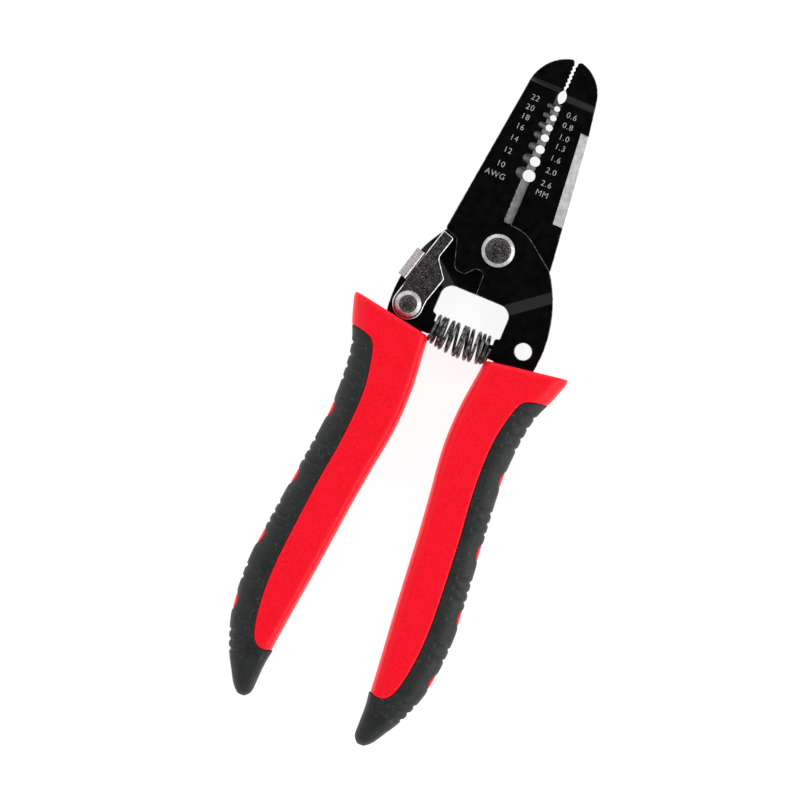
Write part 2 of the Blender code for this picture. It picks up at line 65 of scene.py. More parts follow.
JOINTS = {joint["name"]: joint for joint in frame["joints"]}
PIVOT = np.array(JOINTS["jaw_pivot"]["pos_m"]) / MM
LATCH_AT = np.array(JOINTS["latch_pivot"]["pos_m"])[:2] / MM - PIVOT[:2]

# Handles: the same rows of inner edge (x, y) and outer edge (x, y) as the CAD model's
HANDLE_HALF = PIVOT[2]
HANDLE_STATIONS = (
    (7.7, -26.5, 29.3, -22.9),
    (7.3, -30.2, 27.2, -29.4),
    (6.8, -34.5, 25.1, -34.6),
    (6.3, -40.0, 24.0, -40.5),
    (6.2, -48.0, 23.5, -48.5),
    (6.8, -55.0, 23.7, -56.0),
    (7.9, -63.0, 24.5, -64.0),
    (9.0, -72.0, 25.5, -73.0),
    (10.0, -82.0, 26.6, -83.0),
    (10.9, -91.0, 27.5, -91.5),
    (11.9, -100.0, 27.5, -99.5),
    (12.9, -109.0, 26.6, -108.5),
    (13.6, -117.0, 23.8, -117.0),
    (13.8, -122.5, 20.8, -122.5),
    (14.0, -125.6, 18.9, -125.6),
    (15.2, -127.2, 17.2, -127.2),
)
STATION_STEPS = 8  # rings from one row to the next
FLANGE_STEPS = 20  # finer rows below the first one, for the flange's rounded top
FILLET_ANGLES = np.radians((90, 70, 50, 35, 20, 10))
RING_STEPS = 9  # points on a rounded quarter of a ring
INNER_ROUND, OUTER_ROUND = 2.4, 5.6  # how far the rounded sides reach in
MOST_ROUND = 0.45  # the most of a handle's width that one rounded side takes
SQUARENESS = 2.6  # exponent of the rounded sides: 2 is an ellipse
TOP_FILLET = 1.0
TIP_STATION, TIP_HALF = 11.5, 2.6  # from that row on the handle gets thinner, down to that half
GRIP_EDGE = (
    (31.0, -29.7),
    (26.7, -30.9),
    (23.0, -31.6),
    (20.3, -32.9),
    (18.9, -36.5),
    (17.6, -43.0),
    (17.3, -50.0),
    (17.9, -60.0),
    (19.1, -70.0),
    (20.1, -81.0),
    (20.9, -92.0),
    (20.9, -100.0),
    (20.1, -107.5),
    (18.6, -112.6),
    (16.3, -114.4),
    (13.3, -114.0),
    (9.0, -112.8),
)
GRIP_STEPS = 6  # points from one of them to the next
PAST_GRIP = ((9.0, -132.0), (36.0, -132.0), (36.0, -28.0))  # closes GRIP_EDGE outside the handle
PAST_HALF = 9.0  # above and below the handle
SEAM_GAP = 0.03  # between the red core and the rubber
GRIP_DROP = 0.22  # how far the rubber's faces lie below the red ones
GRIP_WALL = 2.6  # rubber outside the core's tongue
TONGUE_FIRST, BOSS_FIRST = 1, 3  # the rows where the tongue's and the bosses' outer edges begin
EDGE_END = 2  # rows that both leave out at the tip
TONGUE_INSIDE = ((15.5, -118.0), (16.0, -70.0), (15.0, -40.0), (16.0, -29.0))
TONGUE_HALF = 3.0
WINDOW_Y = (-52.5, -71.5, -88.5, -106.0)
WINDOW_LENGTH, WINDOW_HALF = 2.1, 3.4  # half of a window along the handle, and up it
WINDOW_SIDES = 40
WINDOW_DIP, DIP_LENGTH, DIP_REACH = 0.4, 3.6, 5.0  # the rubber sinks towards a window
BOSS_ROOT, BOSS_REACH = 1.5, 2.0  # how far a boss runs into the tongue, and past the handle
BOSS_SINK, BOSS_SKIN = 0.22, 2.0  # how far a boss stands inside the outline, and what part is moved
TANG_SLOT = (
    (21.5, -20.0),
    (19.6, -28.5),
    (14.6, -40.0),
    (19.5, -104.3),
    (14.3, -104.3),
    (9.3, -44.0),
    (9.4, -20.0),
)
SLOT_HALF = 1.3
GROOVE_Y = (
    *(-35.2, -38.2, -41.2, -44.2),
    *(-61.3, -64.0, -66.7),
    *(-79.2, -81.8, -84.4),
    *(-96.8, -99.8),
    *(-113.3, -115.5, -117.7),
)
GROOVE_DEPTH, GROOVE_HALF = 0.42, 0.75
GROOVE_REACH, GROOVE_END = 4.2, 0.45  # how far a groove runs in, and over what length it ends
SKIN_DEPTH, SKIN_HEIGHT = 1.7, 3.6  # only rubber this near the outer edge, or this high, is pressed
CAP_TOP, CAP_FADE = -113.0, 7.0  # the cap's swell is greatest at its top and fades below it
CAP_MIDDLE, CAP_SOFT, CAP_SWELL = 16.0, 2.0, 0.45
VOXEL = 0.27
SMOOTH_FACTOR, SMOOTH_TIMES = 0.5, 4
CORE_TRIANGLES, GRIP_TRIANGLES = 60000, 70000

# Blades and latch
BLADE_TOP = 2.1  # of the front blade; the rear blade is the same, turned over
REAR_TOP = -0.1
WELD, FLAT_ANGLE = 0.0005, math.radians(0.5)  # what joins a CAD solid's facets
SHARP_ANGLE = math.radians(28)
EDGE_CHAMFER = 0.16
LATCH_CHAMFER = 0.24
LEVEL = 0.97  # a face whose normal's Z is greater lies flat
EDGE_BOX = (-4.5, 0.66, 7.3, 40.5)  # round the ground cutting edge: low x, high x, low y, high y
FACET_BOX = (7.5, 11.4, 35.3)  # round the ground flank of the right jaw: low x, low y, high y
FACET_STEEP = 0.6
KEPT_FACET = (7.4, 11.3, 35.4)  # the flank's own edges stay sharp here
KEPT_EDGE = (3.9, 7.45, 50.6)  # and the teeth's, notches' and cutting edge's here: half x, y
TAB_RIGHT, TAB_LOW, TAB_HIGH = -16.0, -17.3, -6.4  # where the thumb tab joins the latch

# Printing: each label and the middle of it
GAUGE_SCALE = (
    ("22", (-6.2, 38.8)),
    ("20", (-6.5, 36.1)),
    ("18", (-6.7, 33.5)),
    ("16", (-6.95, 30.7)),
    ("14", (-7.2, 27.5)),
    ("12", (-7.5, 24.1)),
    ("10", (-7.8, 20.3)),
    ("AWG", (-8.15, 17.4)),
)
METRIC_SCALE = (
    ("0.6", (4.0, 38.1)),
    ("0.8", (4.05, 35.4)),
    ("1.0", (4.3, 32.4)),
    ("1.3", (4.35, 29.8)),
    ("1.6", (4.4, 26.7)),
    ("2.0", (4.6, 23.4)),
    ("2.6", (4.7, 20.0)),
    ("MM", (4.6, 17.4)),
)
LETTER = 1.5  # height of a digit
DIGIT_SHARE = 0.72  # of the font's size that a digit is high
LETTER_SPACE, LETTER_THIN = 1.12, 0.012  # the spacing, and what is taken off a stroke's edges
INK = 0.012  # thickness of the printing

# Rivets: shank, flat of the head, and spread tail
PIVOT_RIVET = (2.6, 3.35, 3.6)
LATCH_RIVET = (1.6, 2.35, 2.4)
HEAD_HEIGHT = 0.8
HEAD_FALL = 0.5  # how steep a head's edge is

# Return spring
SPRING_Y, SPRING_RADIUS, WIRE = -23.9, 3.3, 0.86
SPRING_SAG, SPRING_SWELL = 0.6, 0.6  # of its middle: how far it hangs, and how much wider it is
SPRING_HALF, SPRING_TURNS = 7.62, 11.4
SPRING_CLOSE = 0.16  # how much closer its turns are at the ends
SPRING_START = -0.75 * math.pi
SPRING_LEAN, LEAN_CHANGE = 0.10, -0.36  # how its turns lean at the left end, and change to the right
LEAN_END = 0.3  # the share of the lean that its ends keep
UNEVEN = ((0.30, 17.0, 0.0), (0.24, 41.0, 1.0))  # waves that shift the turns: size, rate, start
COIL_STEPS, WIRE_SIDES = 36, 10

# Studio
TILT = math.radians(22.85)  # how far the tool leans to the right in the frame
VIEW_CENTRE = (-8.1, -43.9)
VIEW_WIDTH = 200.0
CAMERA_HEIGHT = 1.5  # in metres, as the lights' places and sizes are
SENSOR = 36.0
FLOOR_SIZE, FLOOR_DROP = 4.0, -0.1  # just clear of the handles, which lie on it
PATCH_OUTSIDE, PATCH_INSIDE = math.radians(34), math.radians(23)  # of the dark patch overhead
PATCH_STRENGTH = 0.02
KEY = ((1.5, 0.25, 0.8), 1.6, 14.0)  # place, size and power
FILL = ((-0.9, 0.9, 1.0), 1.6, 5.0)


# Curves and meshes ----------------------------------------------------------------------------


def smooth_rows(rows, steps):
    """Rows of numbers on a smooth curve through the given rows, steps from one to the next."""
    rows = np.array(rows, float)
    padded = np.vstack((2 * rows[0] - rows[1], rows, 2 * rows[-1] - rows[-2]))
    found = []
    for i in range(len(rows) - 1):
        p, q, r, s = padded[i : i + 4]
        for t in np.arange(steps) / steps:
            bend = (2 * p - 5 * q + 4 * r - s) * t**2 + (3 * q - p - 3 * r + s) * t**3
            found.append(q + ((r - p) * t + bend) / 2)
    found.append(rows[-1])
    return np.array(found)


def grown(outline, distance):
    """A closed outline with every side moved out by distance, or in when it is negative."""
    points = np.array(outline, float)
    along = np.roll(points, -1, axis=0) - points
    area = np.sum(points[:, 0] * np.roll(points[:, 1], -1) - points[:, 1] * np.roll(points[:, 0], -1))
    along *= math.copysign(1, area) / np.hypot(*along.T)[:, None]
    after = np.column_stack((along[:, 1], -along[:, 0]))
    before = np.roll(after, 1, axis=0)
    spread = 1 + np.sum(before * after, axis=1)
    return points + distance * (before + after) / spread[:, None]


def to_object(name, bm):
    """An object in millimetres from a mesh whose faces are turned outward."""
    bmesh.ops.recalc_face_normals(bm, faces=bm.faces)
    if bm.calc_volume(signed=True) < 0:
        bmesh.ops.reverse_faces(bm, faces=bm.faces)
    mesh = bpy.data.meshes.new(name)
    bm.to_mesh(mesh)
    bm.free()
    obj = bpy.data.objects.new(name, mesh)
    bpy.context.scene.collection.objects.link(obj)
    return obj


def rings_object(name, rings):
    """A solid through closed rings of points, with a face over each end."""
    bm = bmesh.new()
    rows = [[bm.verts.new(point) for point in ring] for ring in rings]
    for upper, lower in zip(rows, rows[1:]):
        for i in range(len(upper)):
            bm.faces.new((upper[i - 1], upper[i], lower[i], lower[i - 1]))
    bm.faces.new(rows[0][::-1])
    bm.faces.new(rows[-1])
    return to_object(name, bm)


def prism(name, outline, low, high):
    """An outline in the XY plane, drawn up from low to high."""
    return rings_object(name, [[(x, y, z) for x, y in outline] for z in (low, high)])


def lathe(name, profile, centre=(0.0, 0.0), steps=128):
    """A solid from (radius, z) points, from the axis round to the axis, about a vertical axis."""
    bm = bmesh.new()
    rows = []
    for radius, z in profile:
        if radius == 0:
            rows.append([bm.verts.new((*centre, z))] * steps)
            continue
        turns = np.arange(steps) / steps * math.tau
        ring = [(centre[0] + radius * math.cos(a), centre[1] + radius * math.sin(a), z) for a in turns]
        rows.append([bm.verts.new(point) for point in ring])
    for upper, lower in zip(rows, rows[1:]):
        for i in range(steps):
            corners = (upper[i - 1], upper[i], lower[i], lower[i - 1])
            bm.faces.new(dict.fromkeys(corners))
    return to_object(name, bm)


def modify(obj, kind, **settings):
    modifier = obj.modifiers.new(kind.lower(), kind)
    for name, value in settings.items():
        setattr(modifier, name, value)


def apply_modifiers(obj):
    graph = bpy.context.evaluated_depsgraph_get()
    mesh = bpy.data.meshes.new_from_object(obj.evaluated_get(graph))
    obj.modifiers.clear()
    obj.data = mesh


def combine(obj, tool, operation):
    """The Boolean of two solids. The tool is used up."""
    modify(obj, "BOOLEAN", object=tool, operation=operation, solver="MANIFOLD")
    apply_modifiers(obj)
    bpy.data.objects.remove(tool)


def settle(obj):
    """Takes an object from pivot millimetres to the row frame."""
    obj.data.transform(Matrix.Scale(MM, 4) @ Matrix.Translation(Vector(PIVOT)))
    return obj


def point_data(obj):
    """The vertices of a mesh and their normals."""
    count = len(obj.data.vertices)
    points, normals = np.empty(count * 3, np.float32), np.empty(count * 3, np.float32)
    obj.data.vertices.foreach_get("co", points)
    obj.data.vertex_normals.foreach_get("vector", normals)
    return points.reshape(-1, 3).astype(float), normals.reshape(-1, 3).astype(float)


def finish(obj, body, slot, *materials, nodes=(), smooth=True):
    """Gives a settled piece its materials and its body. The slot argument is not used."""
    for material in materials:
        obj.data.materials.append(material)
    if smooth:
        obj.data.shade_smooth()
    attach(obj, body)
    if nodes:
        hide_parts(*nodes)


# Materials ------------------------------------------------------------------------------------


class Look:
    """A Principled material whose nodes are fed from the piece's own coordinates, in mm."""

    def __init__(self, name, **uniform):
        self.material = bpy.data.materials.new(name)
        self.material.use_nodes = True
        self.tree = self.material.node_tree
        self.shader = self.tree.nodes["Principled BSDF"]
        for name, value in uniform.items():
            socket = name.replace("_", " ").title().replace("Ior", "IOR")
            self.shader.inputs[socket].default_value = value
        metres = self.tree.nodes.new("ShaderNodeTexCoord").outputs["Object"]
        scaled = self.node("ShaderNodeVectorMath", metres, (1 / MM,) * 3, operation="MULTIPLY")
        self.place = scaled.outputs[0]

    def node(self, kind, *inputs, **settings):
        """A node with its settings, its inputs given in order as links or as values."""
        made = self.tree.nodes.new(kind)
        for name, value in settings.items():
            setattr(made, name, value)
        for socket, value in zip(made.inputs, inputs):
            if isinstance(value, bpy.types.NodeSocket):
                self.tree.links.new(value, socket)
            elif value is not None:
                socket.default_value = value
        return made

    def noise(self, size, detail=2.0, stretch=(1, 1, 1), kind="ShaderNodeTexNoise"):
        """Noise with features of about size mm, from 0 to 1."""
        place = self.node("ShaderNodeVectorMath", self.place, stretch, operation="MULTIPLY").outputs[0]
        made = self.node(kind)
        self.tree.links.new(place, made.inputs["Vector"])
        made.inputs["Scale"].default_value = 1 / size
        if "Detail" in made.inputs:
            made.inputs["Detail"].default_value = detail
        return made.outputs[0]

    def between(self, value, low, high, to_low=0.0, to_high=1.0):
        """The value's range low to high, stretched smoothly to another range."""
        ends = (low, high, to_low, to_high)
        return self.node("ShaderNodeMapRange", value, *ends, interpolation_type="SMOOTHSTEP").outputs[0]

    def mix(self, share, first, second):
        made = self.tree.nodes.new("ShaderNodeMix")
        made.data_type = "RGBA"
        for socket, value in ((0, share), (6, first), (7, second)):
            if isinstance(value, bpy.types.NodeSocket):
                self.tree.links.new(value, made.inputs[socket])
            else:
                made.inputs[socket].default_value = value if socket == 0 else (*value, 1)
        return made.outputs[2]

    def sum(self, first, second, operation="ADD"):
        return self.node("ShaderNodeMath", first, second, operation=operation).outputs[0]

    def colour(self, output):
        self.tree.links.new(output, self.shader.inputs["Base Color"])

    def roughness(self, output):
        self.tree.links.new(output, self.shader.inputs["Roughness"])

    def bump(self, height, depth):
        """A bump of depth mm where height goes from 0 to 1."""
        made = self.node("ShaderNodeBump")
        made.inputs["Strength"].default_value = 1.0
        made.inputs["Distance"].default_value = depth * MM
        self.tree.links.new(height, made.inputs["Height"])
        self.tree.links.new(made.outputs[0], self.shader.inputs["Normal"])


def black_oxide():
    """Blackened sheet steel: nearly black, with fine mottling and a few rubbed specks."""
    look = Look("black_oxide", specular_ior_level=0.3)
    cloud = look.noise(2.2, 4.0)
    grain = look.noise(0.09, 2.0)
    speck = look.between(look.noise(0.35, 3.0), 0.70, 0.78)
    base = look.mix(look.between(cloud, 0.3, 0.7), (0.0012, 0.0012, 0.0013), (0.0024, 0.0023, 0.0024))
    look.colour(look.mix(look.sum(speck, 0.4, "MULTIPLY"), base, (0.02, 0.02, 0.02)))
    look.roughness(look.between(look.sum(cloud, grain), 0.7, 1.3, 0.18, 0.26))
    look.bump(look.sum(grain, look.noise(0.5, 3.0)), 0.002)
    return look.material


def rubbed_edge():
    """The edge of a blade, where the black is worn through to steel."""
    look = Look("rubbed_edge", metallic=0.85)
    worn = look.between(look.sum(look.noise(1.6, 3.0), look.noise(0.22, 2.0)), 0.85, 1.15)
    look.colour(look.mix(worn, (0.030, 0.030, 0.031), (0.22, 0.22, 0.225)))
    look.roughness(look.between(worn, 0.0, 1.0, 0.42, 0.3))
    look.bump(look.noise(0.12, 2.0), 0.006)
    return look.material


def ground_steel(name, dark, light, across):
    """Bare ground steel. across is how much finer the lines are along X, Y and Z."""
    look = Look(name, metallic=1.0)
    lines = look.noise(0.5, 3.0, across)
    cloud = look.noise(1.5, 3.0)
    share = look.between(look.sum(lines, look.sum(cloud, 0.6, "MULTIPLY")), 0.5, 1.1)
    look.colour(look.mix(share, (dark, dark, dark * 1.01), (light, light, light * 1.02)))
    look.roughness(look.between(lines, 0.3, 0.7, 0.3, 0.5))
    look.bump(lines, 0.003)
    return look.material


def nickel():
    """Plated steel as it comes from the tumbler: fine pits and dull spots."""
    look = Look("tumbled_nickel", metallic=1.0)
    cloud = look.noise(1.4, 4.0)
    grain = look.noise(0.15, 2.0)
    pit = look.between(look.noise(0.42, 2.0), 0.62, 0.72)
    base = look.mix(look.between(grain, 0.38, 0.62), (0.17, 0.145, 0.155), (0.74, 0.69, 0.70))
    look.colour(look.mix(look.sum(pit, 0.5, "MULTIPLY"), base, (0.16, 0.14, 0.15)))
    look.roughness(look.between(look.sum(cloud, grain), 0.6, 1.4, 0.16, 0.28))
    look.bump(look.sum(grain, look.sum(pit, -0.6, "MULTIPLY")), 0.025)
    return look.material


def bright_nickel(name, dark, light):
    """The rolled or pressed edges of the plated pieces, clouded between a dark and a light tone. The
    latch's edges get light tones that are a painted highlight.
    """
    look = Look(name, metallic=1.0)
    cloud = look.noise(0.9, 3.0)
    tones = [(tone, tone * 0.99, tone) for tone in (dark, light)]
    look.colour(look.mix(look.between(cloud, 0.3, 0.7), *tones))
    look.roughness(look.between(look.noise(0.3, 2.0), 0.3, 0.7, 0.25, 0.4))
    look.bump(look.noise(0.15, 2.0), 0.004)
    return look.material


def spring_wire():
    """Oiled music wire with drawing lines, and lighter patches along it that are painted highlights."""
    look = Look("spring_wire", metallic=0.8)
    cloud = look.noise(1.3, 2.0)
    # The lighter patches of the wire's colour are painted highlights.
    look.colour(look.mix(look.between(cloud, 0.35, 0.65), (0.014, 0.014, 0.014), (0.19, 0.187, 0.187)))
    look.roughness(look.between(look.noise(0.25, 3.0), 0.3, 0.7, 0.2, 0.36))
    look.bump(look.noise(0.1, 2.0), 0.004)
    return look.material


def red_plastic():
    """Hard red moulding with a fine spark-eroded grain."""
    look = Look("red_moulding", specular_ior_level=0.22)
    grain = look.noise(0.28, 3.0)
    cloud = look.noise(6.0, 3.0)
    tone = look.sum(look.sum(grain, 0.9, "MULTIPLY"), look.sum(cloud, 0.12, "MULTIPLY"))
    look.colour(look.mix(look.between(tone, 0.3, 0.75), (0.84, 0.0015, 0.007), (1.0, 0.006, 0.030)))
    look.roughness(look.between(grain, 0.3, 0.7, 0.36, 0.5))
    look.bump(grain, 0.02)
    return look.material


def black_rubber():
    """Soft grip rubber: matt, with a fine pebble grain, patchy tone and lighter specks that are painted
    highlights.
    """
    look = Look("grip_rubber", specular_ior_level=0.4)
    grain = look.noise(0.3, 3.0)
    pebble = look.noise(0.45, 2.0, kind="ShaderNodeTexVoronoi")
    cloud = look.noise(4.0, 4.0)
    # speck marks lighter grey specks in the rubber's colour: painted highlights.
    speck = look.between(look.sum(grain, look.noise(1.1, 3.0)), 1.14, 1.28)
    tone = look.sum(look.sum(grain, 0.6, "MULTIPLY"), look.sum(cloud, 0.5, "MULTIPLY"))
    base = look.mix(look.between(tone, 0.35, 0.8), (0.0036, 0.0043, 0.0043), (0.0112, 0.0135, 0.0135))
    look.colour(look.mix(look.sum(speck, 0.35, "MULTIPLY"), base, (0.10, 0.11, 0.11)))
    look.roughness(look.between(cloud, 0.3, 0.7, 0.5, 0.66))
    look.bump(look.sum(grain, look.sum(pebble, 0.5, "MULTIPLY")), 0.03)
    return look.material


def printing_ink():
    """Pale pad printing, a little thin in places."""
    look = Look("printing_ink")
    thin = look.between(look.noise(0.25, 3.0), 0.35, 0.65)
    look.colour(look.mix(thin, (0.26, 0.26, 0.255), (0.50, 0.50, 0.49)))
    look.roughness(look.between(thin, 0.0, 1.0, 0.6, 0.45))
    look.bump(thin, 0.003)
    return look.material


# Handles --------------------------------------------------------------------------------------


def handle_ring(row, half, inset):
    """One ring of a handle, from its inner edge over the top to its outer edge and back."""
    inner, outer = np.array(row[:2]), np.array(row[2:])
    width = np.hypot(*(outer - inner))
    across = (outer - inner) / width
    left, right, half = inset, width - inset, half - inset
    quarter = np.linspace(0, math.pi / 2, RING_STEPS)
    power = 2 / SQUARENESS
    reach = [min(side, (right - left) * MOST_ROUND) for side in (INNER_ROUND, OUTER_ROUND)]
    top = []
    for angle in quarter:
        across_mm = left + reach[0] * (1 - math.cos(angle) ** power)
        top.append((across_mm, half * math.sin(angle) ** power))
    for angle in quarter[::-1]:
        across_mm = right - reach[1] * (1 - math.cos(angle) ** power)
        top.append((across_mm, half * math.sin(angle) ** power))
    bottom = [(across_mm, -z) for across_mm, z in top[-2:0:-1]]
    return [(*(inner + across * across_mm), z) for across_mm, z in top + bottom]


def handle_form(name, drop):
    """The outside of the right handle, its broad faces lowered by drop."""
    rows = smooth_rows(HANDLE_STATIONS, STATION_STEPS)
    flange_rows = smooth_rows(HANDLE_STATIONS[:3], FLANGE_STEPS)
    flange_height = HANDLE_STATIONS[0][1] - HANDLE_STATIONS[1][1]
    rings = []
    for angle in FILLET_ANGLES:
        down = TOP_FILLET * (1 - math.sin(angle))
        row = flange_rows[round(down / flange_height * FLANGE_STEPS)]
        rings.append(handle_ring(row, HANDLE_HALF - drop, TOP_FILLET * (1 - math.cos(angle))))
    for i, row in enumerate(rows[STATION_STEPS // 2 :], STATION_STEPS // 2):
        way = max(0, i / STATION_STEPS - TIP_STATION)
        way /= len(HANDLE_STATIONS) - 1 - TIP_STATION
        thinner = (1 - (TIP_HALF / HANDLE_HALF) ** 2) * way**2
        rings.append(handle_ring(row, (HANDLE_HALF - drop) * math.sqrt(1 - thinner), 0))
    return rings_object(name, rings)


def outer_edge(inset, first):
    """The outer edge of the handle moved in by inset, from one of its rows to short of the tip."""
    rows = smooth_rows(HANDLE_STATIONS, STATION_STEPS)
    rows = rows[first * STATION_STEPS : -EDGE_END * STATION_STEPS]
    inner, outer = rows[:, :2], rows[:, 2:]
    across = (outer - inner) / np.hypot(*(outer - inner).T)[:, None]
    return outer - across * inset


def grip_space(gap):
    """The space of the rubber: outside its edge, and round the tongue and its bosses."""
    outline = [*smooth_rows(GRIP_EDGE, GRIP_STEPS), *PAST_GRIP]
    space = prism("grip_space", grown(outline, -gap), -PAST_HALF, PAST_HALF)
    tongue = grown([*outer_edge(GRIP_WALL, TONGUE_FIRST), *TONGUE_INSIDE], gap)
    combine(space, prism("tongue", tongue, -TONGUE_HALF - gap, TONGUE_HALF + gap), "DIFFERENCE")
    edge = outer_edge(0, BOSS_FIRST)
    for y in WINDOW_Y:
        x = edge[np.argmin(abs(edge[:, 1] - y))][0]
        turns = np.arange(WINDOW_SIDES) / WINDOW_SIDES * math.tau
        rings = []
        for reach in (-GRIP_WALL - BOSS_ROOT, BOSS_REACH):
            oval = [(WINDOW_LENGTH * math.cos(a), WINDOW_HALF * math.sin(a)) for a in turns]
            rings.append([(x + reach, y + p, z) for p, z in grown(oval, gap)])
        combine(space, rings_object("boss", rings), "DIFFERENCE")
    return space


def smoothed(obj):
    """A solid with evenly small faces and slightly rounded edges."""
    modify(obj, "REMESH", mode="VOXEL", voxel_size=VOXEL)
    modify(obj, "SMOOTH", factor=SMOOTH_FACTOR, iterations=SMOOTH_TIMES)
    apply_modifiers(obj)


def thinned(obj, triangles):
    """Collapses faces down to a number of triangles."""
    obj.data.calc_loop_triangles()
    modify(obj, "DECIMATE", ratio=min(1.0, triangles / len(obj.data.loop_triangles)))
    apply_modifiers(obj)
    obj.data.materials.clear()


def move_points(obj, points):
    obj.data.vertices.foreach_set("co", points.astype(np.float32).ravel())
    obj.data.update()


def inward_of(points):
    """How far points lie from the outer edge of the right handle."""
    rows = smooth_rows(HANDLE_STATIONS, STATION_STEPS)
    order = np.argsort(rows[:, 3])
    return np.interp(points[:, 1], rows[order, 3], rows[order, 2]) - points[:, 0]


def sink_bosses(obj):
    """Draws the red bosses in a little behind the handle's outline."""
    points, _ = point_data(obj)
    near = np.min([abs(points[:, 1] - y) for y in WINDOW_Y], axis=0) < DIP_LENGTH
    points[:, 0] -= BOSS_SINK * (near & (inward_of(points) < BOSS_SKIN))
    move_points(obj, points)


def press_grip(obj):
    """Presses the finger grooves and the dips round the windows into the rubber."""
    points, normals = point_data(obj)
    inward = inward_of(points)
    skin = (inward < SKIN_DEPTH) | (abs(points[:, 2]) > SKIN_HEIGHT)
    reach = np.clip((GROOVE_REACH - inward) / GROOVE_END, 0, 1)
    reach = reach * reach * (3 - 2 * reach)
    depth = np.zeros(len(points))
    for y in GROOVE_Y:
        away = np.clip(abs(points[:, 1] - y) / GROOVE_HALF, 0, 1)
        depth = np.maximum(depth, GROOVE_DEPTH * np.cos(away * math.pi / 2) ** 2 * reach)
    for y in WINDOW_Y:
        away = np.clip(abs(points[:, 1] - y) / DIP_LENGTH, 0, 1)
        side = np.clip(1 - inward / DIP_REACH, 0, 1)
        depth += WINDOW_DIP * np.cos(away * math.pi / 2) ** 2 * side
    move_points(obj, points - normals * (depth * skin)[:, None])


def swell_cap(obj):
    """Lets the end cap stand out a little past the red core on the inner side."""
    points, _ = point_data(obj)
    along = np.clip((CAP_TOP - points[:, 1]) / CAP_FADE, 0, 1)
    inside = np.clip((CAP_MIDDLE - points[:, 0]) / CAP_SOFT, 0, 1)
    points[:, 0] -= CAP_SWELL * (1 - along) ** 2 * inside * (points[:, 1] < CAP_TOP)
    move_points(obj, points)


def mirrored(obj, name):
    """A copy of a piece on the other side."""
    copy = bpy.data.objects.new(name, obj.data.copy())
    bpy.context.scene.collection.objects.link(copy)
    copy.data.transform(Matrix.Scale(-1, 4, (1, 0, 0)))
    copy.data.flip_normals()
    return copy


def handles(red, black):
    core = handle_form("right_core", 0)
    combine(core, grip_space(0), "DIFFERENCE")
    combine(core, prism("tang_slot", TANG_SLOT, -SLOT_HALF, SLOT_HALF), "DIFFERENCE")
    smoothed(core)
    sink_bosses(core)
    thinned(core, CORE_TRIANGLES)
    grip = handle_form("right_grip", GRIP_DROP)
    combine(grip, grip_space(SEAM_GAP), "INTERSECT")
    smoothed(grip)
    press_grip(grip)
    swell_cap(grip)
    thinned(grip, GRIP_TRIANGLES)
    for piece, kind, slot, material in (
        (core, "core", "red_plastic", red),
        (grip, "grip", "black_rubber", black),
    ):
        other = mirrored(piece, f"left_{kind}")
        finish(settle(piece), "front_half", slot, material, nodes=[f"right_handle_{kind}"])
        finish(settle(other), "rear_half", slot, material, nodes=[f"left_handle_{kind}"])


# Steel pieces ---------------------------------------------------------------------------------


def refined(node, name, width, pick_material=lambda middle, normal: 0, pick_edge=lambda edge: True):
    """A copy of a CAD node with its facets joined and a small chamfer along its sharp edges.

    pick_material gives the material index of a face from its middle and its normal, in mm, and
    pick_edge says if a sharp edge gets a chamfer. The chamfers take material 1.
    """
    bm = bmesh.new()
    bm.from_mesh(frame["nodes"][node].data)
    bmesh.ops.scale(bm, vec=(1 / MM,) * 3, verts=bm.verts)
    bmesh.ops.translate(bm, vec=-PIVOT, verts=bm.verts)
    bmesh.ops.remove_doubles(bm, verts=bm.verts, dist=WELD)
    bmesh.ops.dissolve_limit(bm, angle_limit=FLAT_ANGLE, verts=bm.verts, edges=bm.edges)
    bm.normal_update()
    for face in bm.faces:
        face.material_index = pick_material(face.calc_center_median(), face.normal)
    sharp = [edge for edge in bm.edges if edge.calc_face_angle(0) > SHARP_ANGLE and pick_edge(edge)]
    bmesh.ops.bevel(
        bm,
        geom=sharp,
        offset=width,
        segments=2,
        profile=0.5,
        affect="EDGES",
        clamp_overlap=False,
        material=1,
    )
    return to_object(name, bm)


def blade_face(side):
    """Picks the material of a blade's face. side is 1 for the front blade, -1 for the rear."""

    def pick(middle, normal):
        left, right, low, high = EDGE_BOX
        if abs(normal.z) < LEVEL and left < middle.x * side < right and low < middle.y < high:
            return 2
        left, low, high = FACET_BOX
        sloped = side < 0 and FACET_STEEP < normal.z < LEVEL
        if sloped and middle.x > left and low < middle.y < high:
            return 3
        return 0

    return pick


def outside_edge(edge):
    """True for an edge away from the teeth, the notches, the cutting edge and the ground flank."""
    left, low, high = KEPT_FACET
    if all(vert.co.x > left and low < vert.co.y < high for vert in edge.verts):
        return False
    half, low, high = KEPT_EDGE
    return any(abs(vert.co.x) > half or not low < vert.co.y < high for vert in edge.verts)


def blades(materials):
    for node, body, side in (("front_blade", "front_half", 1), ("rear_blade", "rear_half", -1)):
        piece = refined(node, f"{node}_steel", EDGE_CHAMFER, blade_face(side), outside_edge)
        finish(settle(piece), body, "black_steel", *materials, nodes=[node], smooth=False)


def plate_edge(edge):
    """True for an edge of the latch away from its thumb tab."""
    return any(vert.co.x > TAB_RIGHT or not TAB_LOW < vert.co.y < TAB_HIGH for vert in edge.verts)


def latch_lever(pitted, edge):
    latch = refined("latch_lever", "latch_plate", LATCH_CHAMFER, pick_edge=plate_edge)
    # The chamfers take the edge material, lighter than the plate: a painted highlight.
    finish(settle(latch), "latch", "nickel", pitted, edge, nodes=["latch_lever"], smooth=False)


